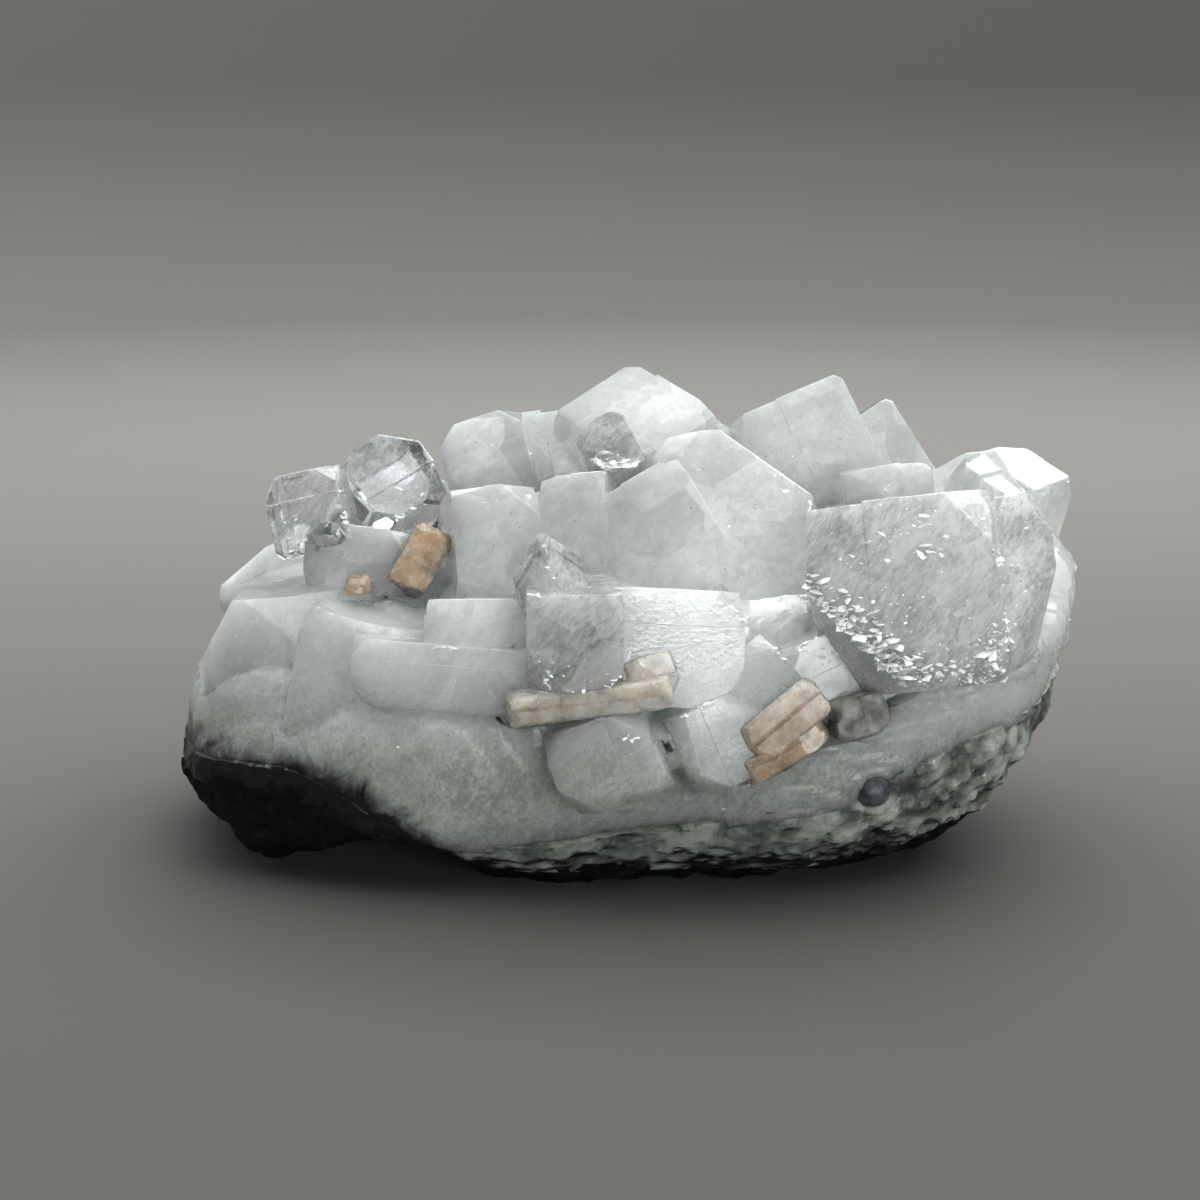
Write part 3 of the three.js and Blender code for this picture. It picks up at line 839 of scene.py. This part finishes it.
# The rough body is one smooth form. Each mineral takes its own share of it, carved in its own way,
# and reaches a little into its neighbours so that no seam shows.
VOXEL = 0.5
GROWTH = 0.3
OVERLAP = 0.8
LARGE_NODES = ("milky_apophyllite", "chalcedony_crust", "basalt_matrix")
whole, *others = (remade(node, f"whole.{node}", VOXEL, 0, GROWTH) for node in LARGE_NODES)
combined(whole, others)
modified(whole, "REMESH", mode="VOXEL", voxel_size=VOXEL * MM)
modified(whole, "SMOOTH", iterations=10, factor=0.5)
grown(whole, -GROWTH)


def share_of(node, name, height):
    piece = carved(copied(whole, name), height)
    room = remade(node, f"{name}.room", VOXEL, 2, OVERLAP)
    return combined(piece, [room], "INTERSECT")


milky = combined(milky, [share_of("milky_apophyllite", "milky_body", milky_height)])
pale = milky_surface()
finished(milky, "milky_crystals", "milky_apophyllite", pale, "milky_apophyllite")

glint = crack_surface()

# Each row is a name, the crystals, the least and the most haze, where slivers gather, and a seed.
# Slivers gather round a middle in millimetres (None for the whole piece), with a reach, a count
# and a size in millimetres.
for name, rows, haze, glints, seed in (
    ("clear_crystals_left", CLEAR_LEFT, (0.0, 0.3), (
        (None, 0, 60, 0.7), ((-34.5, -13, 31.7), 1.0, 60, 1.0), ((-31, -13, 31.2), 0.8, 30, 1.0),
        ((-27.3, -11, 34), 0.7, 25, 1.2), ((-21.8, -10, 33.4), 0.9, 25, 1.0),
        ((-22, -8, 38), 1.2, 12, 1.0),
    ), 1),
    ("clear_crystal_top", CLEAR_TOP, (0.0, 0.3), (
        (None, 0, 10, 0.8), ((-3, -11, 40.3), 0.9, 45, 1.3),
    ), 2),
    ("clear_crystals_front", CLEAR_FRONT, (0.15, 0.5), (
        (None, 0, 40, 0.6), ((-9.3, -29.5, 22.6), 0.7, 22, 0.9), ((-2.4, -29.5, 22.6), 0.6, 16, 0.9),
        ((-9, -28, 32), 0.9, 14, 0.9), ((-6, -29.5, 22), 1.4, 16, 1.0),
    ), 3),
    ("clear_crystals_right", CLEAR_RIGHT, (0.3, 0.75), (
        (None, 0, 700, 0.55), ((15, -29.5, 31), 0.9, 60, 1.6), ((17.4, -29.5, 29.2), 1.0, 120, 1.7),
        ((19.4, -29.5, 27), 1.0, 130, 1.7), ((21.2, -29.5, 25.6), 1.0, 120, 1.7),
        ((23, -29.5, 24.3), 1.0, 100, 1.6), ((25.6, -29.5, 23.4), 0.9, 60, 1.4),
        ((28.5, -27, 23), 1.4, 60, 1.2), ((32.4, -26, 25.5), 1.3, 90, 1.6),
        ((32.4, -26, 22.2), 0.8, 60, 0.9), ((25.5, -26, 37.3), 0.5, 12, 1.5),
        ((26.4, -26, 34.4), 0.4, 10, 1.5), ((23, -26, 35.5), 1.6, 25, 1.1),
        ((33.5, -24, 33), 1.3, 40, 0.8), ((25, -28, 29), 3.0, 60, 0.7),
    ), 4),
):
    glass = clear_surface(name, haze, (0, 40, 0))
    piece = crystal_group(name, rows, 0.25, 0.07)
    finished(piece, f"{name}_piece", "clear_apophyllite", glass, name)
    slivers = sparkles(f"{name}_glints", piece, glints, seed)
    finished(slivers, f"{name}_glints", "clear_apophyllite", glint)

slivers = sparkles("milky_glints", milky, (
    (None, 0, 700, 0.6), ((4.5, -32, 25), 1.5, 50, 0.7), ((5.5, -32, 22.5), 0.8, 18, 0.8),
    ((-18.6, -32, 26.3), 0.6, 20, 0.9), ((-1.3, -34, 18), 0.25, 8, 0.9),
    ((15.5, -10, 38.5), 0.8, 25, 0.8), ((17, -10, 35.5), 0.8, 25, 0.9),
    ((12.5, -27, 29.8), 1.0, 50, 1.0), ((15, -27, 27), 1.0, 50, 0.9), ((17.5, -27, 24), 1.0, 40, 0.9),
    ((38, 0, 36), 2.0, 30, 0.8), ((-26, -18, 31), 2.0, 15, 0.7),
), 5)
finished(slivers, "milky_glints", "milky_apophyllite", glint)

for name, rows, count, low, high in (
    ("stilbite_left", STILBITE_LEFT, 3, 34, 50),
    ("stilbite_chip", STILBITE_CHIP, 2, 30, 50),
    ("stilbite_middle", STILBITE_MIDDLE, 2, 12, 21),
    ("stilbite_right", STILBITE_RIGHT, 2, 15, 24),
):
    peach = stilbite_surface(name, low, high)
    blades = []
    for row_name, row in rows.items():
        blades += bladed(f"{name}.{row_name}", row, count, rng, 0.2, 0.25)
    piece = combined(blades[0], blades[1:])
    finished(piece, f"{name}_piece", "stilbite", peach, name)

smoky = crystal_group("smoky", SMOKY, 0.15, 0.05)
finished(smoky, "smoky_piece", "smoky_crystal", smoky_surface(), "smoky_crystal")

nodule = carved(remade("grey_nodule", "nodule", 0.2, 6), lambda place: waves(place, 1.2, 2) * 0.12)
finished(nodule, "nodule_piece", "grey_nodule", nodule_surface(), "grey_nodule")

crust = share_of("chalcedony_crust", "crust", crust_height)
finished(crust, "crust_piece", "chalcedony", crust_surface(), "chalcedony_crust")

basalt = share_of("basalt_matrix", "basalt", basalt_height)
finished(basalt, "basalt_piece", "basalt", basalt_surface(), "basalt_matrix")
bpy.data.objects.remove(whole)


# ---- Floor, lights and camera ----------------------------------------------------------------

FLOOR_RINGS = (0.02, 0.1, 0.25)
FLOOR_RADIUS = 0.5
CORNER = 0.06
WALL_HEIGHT = 0.35


def bowl(name, steps=96, bend=10):
    """A round floor that curves up into a wall."""
    profile = [(radius, 0.0) for radius in FLOOR_RINGS]
    for i in range(bend + 1):
        a = math.pi / 2 * i / bend
        profile.append((FLOOR_RADIUS - CORNER + CORNER * math.sin(a), CORNER - CORNER * math.cos(a)))
    profile.append((FLOOR_RADIUS, WALL_HEIGHT))
    verts = [(0, 0, 0)]
    for radius, height in profile:
        for i in range(steps):
            a = 2 * math.pi * i / steps
            verts.append((radius * math.cos(a), radius * math.sin(a), height))
    faces = [(0, 1 + i, 1 + (i + 1) % steps) for i in range(steps)]
    for ring in range(len(profile) - 1):
        first = 1 + ring * steps
        for i in range(steps):
            j = (i + 1) % steps
            faces.append((first + i, first + steps + i, first + steps + j, first + j))
    mesh = bpy.data.meshes.new(name)
    mesh.from_pydata(verts, [], faces)
    mesh.polygons.foreach_set("use_smooth", [True] * len(mesh.polygons))
    piece = bpy.data.objects.new(name, mesh)
    bpy.context.collection.objects.link(piece)
    return piece


floor = bowl("floor")
stone = Surface("floor", Roughness=0.75, Specular_IOR_Level=0.0)
# The floor is painted darker towards the front and lighter behind: painted shade standing for the light
# that comes from behind.
depth = along_axis(stone, "Y", -150, 300)
stone.feed("Base Color", stone.mixed(depth, (0.110, 0.103, 0.098), (0.312, 0.294, 0.280)))
floor.data.materials.append(stone.material)


def lamp(name, place, aim, size, power, colour, spread=180):
    light = bpy.data.lights.new(name, "AREA")
    light.shape = "ELLIPSE"
    light.size, light.size_y = size
    light.energy = power
    light.color = colour
    light.spread = math.radians(spread)
    piece = bpy.data.objects.new(name, light)
    bpy.context.collection.objects.link(piece)
    piece.location = place
    piece.rotation_mode = "QUATERNION"
    piece.rotation_quaternion = (Vector(aim) - Vector(place)).to_track_quat("-Z", "Y")
    return piece


lamp("key", (0.17, 0.44, 0.36), (0, 0.03, 0.02), (1.1, 0.5), 2.1, (0.95, 1.0, 1.0))
lamp("fill", (0.18, -0.43, 0.07), (0, 0, 0.02), (0.8, 0.14), 0.58, (0.95, 1.0, 1.0), 120)

# The sky is brightest above and behind the object, and dim in front of it.
world = bpy.data.worlds.new("studio")
bpy.context.scene.world = world
world.use_nodes = True
tree = world.node_tree
sky = tree.nodes["Background"]
facing = tree.nodes.new("ShaderNodeTexCoord")
tilt = tree.nodes.new("ShaderNodeVectorMath")
tilt.operation = "DOT_PRODUCT"
tilt.inputs[1].default_value = Vector((0.30, 0.56, 0.77)).normalized()
ramp = tree.nodes.new("ShaderNodeValToRGB")
tree.links.new(facing.outputs["Generated"], tilt.inputs[0])
tree.links.new(tilt.outputs["Value"], ramp.inputs["Fac"])
tree.links.new(ramp.outputs["Color"], sky.inputs["Color"])
ramp.color_ramp.elements[0].color = (0.022, 0.023, 0.023, 1)
ramp.color_ramp.elements[1].color = (0.95, 1, 1, 1)
sky.inputs["Strength"].default_value = 1.8

TARGET = ORIGIN + Vector((-3.5, 0, 23.7)) * MM
DISTANCE = 0.261
ELEVATION = 13
FOCAL_LENGTH = 78
lens = bpy.data.cameras.new("camera")
lens.lens = FOCAL_LENGTH
lens.sensor_width = 36
camera = bpy.data.objects.new("camera", lens)
bpy.context.collection.objects.link(camera)
camera.location = TARGET + heading(-90, ELEVATION) * DISTANCE
camera.rotation_mode = "QUATERNION"
camera.rotation_quaternion = (TARGET - camera.location).to_track_quat("-Z", "Y")
lens.clip_start = 0.01
lens.clip_end = 10
bpy.context.scene.camera = camera

view = bpy.context.scene.view_settings
view.view_transform = "Standard"
view.gamma = 0.92
view.exposure = 0.78

bounces = bpy.context.scene.cycles
bounces.max_bounces = 4
bounces.diffuse_bounces = 1
bounces.transmission_bounces = 4
